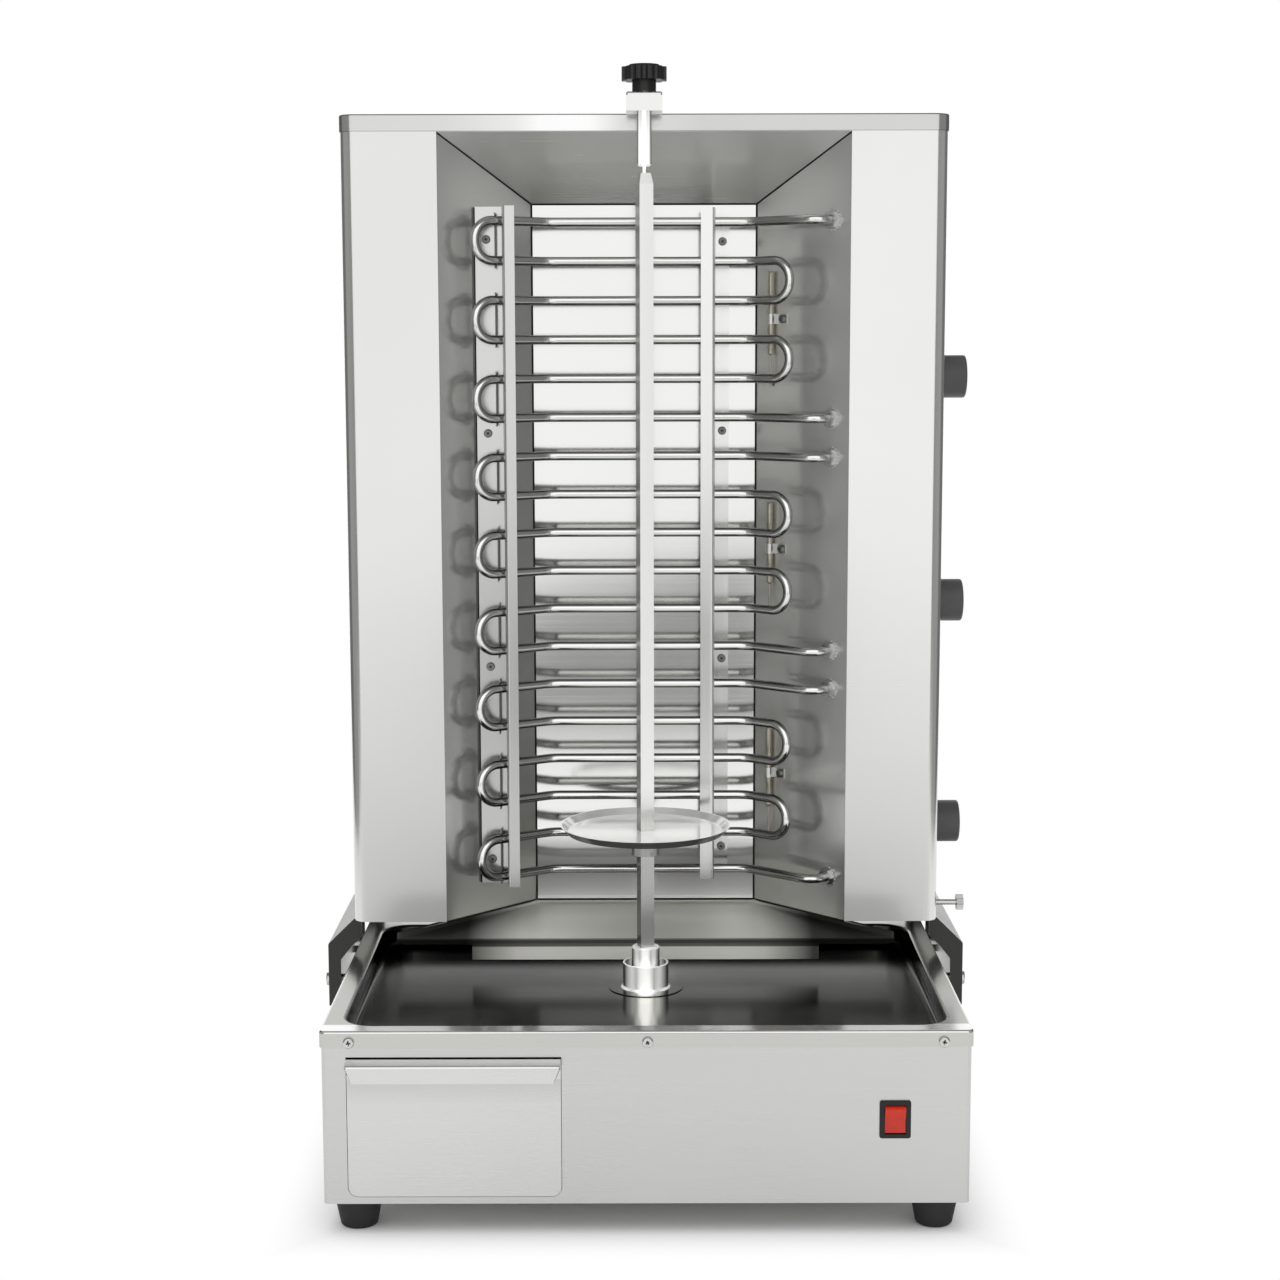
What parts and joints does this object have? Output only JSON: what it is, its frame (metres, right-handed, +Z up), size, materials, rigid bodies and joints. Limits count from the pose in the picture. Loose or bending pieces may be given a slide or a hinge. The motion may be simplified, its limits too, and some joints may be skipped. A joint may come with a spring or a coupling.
{
  "type": "electric doner kebab grill",
  "caption": "Countertop vertical broiler: heated open bay on a base with grease tray and drawer, driven square spindle with a height-adjustable meat plate and a screw-down top bearing.",
  "frame": {"origin": "on the floor under the middle of the base", "axes": "+Z up along the spindle, front towards -Y, heat knobs on the +X side"},
  "size_m": [0.577, 0.483, 0.9385],
  "materials": {
    "stainless_panel": "fine brushed",
    "stainless_polished": "polished",
    "stainless_arm": "dull brushed",
    "galvanised": "dull zinc",
    "heater_tube": "satin",
    "turned_steel": "turned",
    "screw_steel": "bright zinc",
    "bronze": "plain",
    "cast_aluminium": "as cast",
    "motor_paint": "semi-gloss",
    "black_plastic": "fine grain",
    "orange_plastic": "translucent, glossy",
    "terminal_plastic": "plain",
    "foot_rubber": "moulded"
  },
  "bodies": {
    "base": {"base_front_panel": "stainless_panel", "base_rear_panel": "stainless_panel", "base_side_panels": "stainless_panel", "base_floor_plate": "stainless_panel", "feet": "foot_rubber", "base_screws": "screw_steel", "drip_tray": "stainless_polished", "hub_sleeve": "turned_steel", "hub_bush": "bronze", "motor_gearbox": "cast_aluminium", "motor_can": "motor_paint", "motor_bracket": "galvanised", "cable_gland": "black_plastic", "terminal_block": "terminal_plastic", "drawer_runners": "galvanised", "rocker_bezel": "black_plastic", "slide_rails": "galvanised", "rail_bolts": "screw_steel"},
    "drawer": {"drawer_front": "stainless_panel", "drawer_pan": "stainless_polished"},
    "rocker": {"rocker_button": "orange_plastic"},
    "spindle": {"drive_shaft": "turned_steel", "drive_socket": "turned_steel", "spindle_bar": "turned_steel"},
    "plate": {"meat_plate": "stainless_polished", "plate_collar": "turned_steel", "collar_screw": "screw_steel"},
    "casing": {"left_column": "stainless_panel", "right_column": "stainless_panel", "back_panel": "stainless_panel", "top_cap": "stainless_panel", "bay_side_walls": "stainless_polished", "bay_rear_wall": "stainless_panel", "bay_ceiling": "stainless_polished", "casing_floor": "stainless_panel", "drip_plate": "stainless_polished", "element_top": "heater_tube", "element_middle": "heater_tube", "element_bottom": "heater_tube", "element_nuts": "screw_steel", "left_support": "stainless_arm", "right_support": "stainless_arm", "support_screws": "screw_steel", "element_clips": "turned_steel", "thermostats": "terminal_plastic", "sensor_bulbs": "turned_steel", "sensor_clips": "turned_steel", "side_arms": "stainless_arm", "arm_bolts": "screw_steel"},
    "thumb_screw": {"thumb_screw": "screw_steel"},
    "heat_knob_top": {"heat_knob_top": "black_plastic", "thermostat_shaft_top": "screw_steel"},
    "heat_knob_middle": {"heat_knob_middle": "black_plastic", "thermostat_shaft_middle": "screw_steel"},
    "heat_knob_bottom": {"heat_knob_bottom": "black_plastic", "thermostat_shaft_bottom": "screw_steel"},
    "top_arm": {"top_arm": "stainless_arm", "arm_screws": "screw_steel"},
    "clamp_screw": {"clamp_screw": "turned_steel"},
    "clamp_knob": {"clamp_knob": "black_plastic"}
  },
  "joints": [
    {"name": "casing_slide", "type": "slide", "parent": "base", "child": "casing", "axis": [0, 1, 0], "range_m": [0, 0.06]},
    {"name": "top_arm_slide", "type": "slide", "parent": "casing", "child": "top_arm", "axis": [0, 1, 0], "range_m": [-0.06, 0]},
    {"name": "clamp_screw_lift", "type": "slide", "parent": "top_arm", "child": "clamp_screw", "axis": [0, 0, 1], "range_m": [0, 0.014]},
    {"name": "clamp_knob_turn", "type": "hinge", "parent": "clamp_screw", "child": "clamp_knob", "pos_m": [0, -0.037, 0.9255], "axis": [0, 0, 1], "range_deg": [0, 2880]},
    {"name": "spindle_spin", "type": "hinge", "parent": "base", "child": "spindle", "pos_m": [0, -0.037, 0.1955], "axis": [0, 0, 1], "continuous": true},
    {"name": "plate_height", "type": "slide", "parent": "spindle", "child": "plate", "axis": [0, 0, 1], "range_m": [-0.08, 0.25]},
    {"name": "drawer_slide", "type": "slide", "parent": "base", "child": "drawer", "axis": [0, -1, 0], "range_m": [0, 0.25]},
    {"name": "rocker_tip", "type": "hinge", "parent": "base", "child": "rocker", "pos_m": [0.1981, -0.226, 0.096], "axis": [1, 0, 0], "range_deg": [-20, 0]},
    {"name": "thumb_screw_turn", "type": "hinge", "parent": "casing", "child": "thumb_screw", "pos_m": [0.27, 0.033, 0.207], "axis": [1, 0, 0], "range_deg": [0, 720]},
    {"name": "heat_knob_top_turn", "type": "hinge", "parent": "casing", "child": "heat_knob_top", "pos_m": [0.275, 0.082, 0.6785], "axis": [1, 0, 0], "range_deg": [-270, 0]},
    {"name": "heat_knob_middle_turn", "type": "hinge", "parent": "casing", "child": "heat_knob_middle", "pos_m": [0.275, 0.082, 0.4765], "axis": [1, 0, 0], "range_deg": [-270, 0]},
    {"name": "heat_knob_bottom_turn", "type": "hinge", "parent": "casing", "child": "heat_knob_bottom", "pos_m": [0.275, 0.082, 0.2715], "axis": [1, 0, 0], "range_deg": [-270, 0]}
  ],
  "couplings": [
    {"joint": "top_arm_slide", "follows": "casing_slide", "ratio": -1},
    {"joint": "clamp_knob_turn", "follows": "clamp_screw_lift", "rad_per_m": 3590.4}
  ]
}
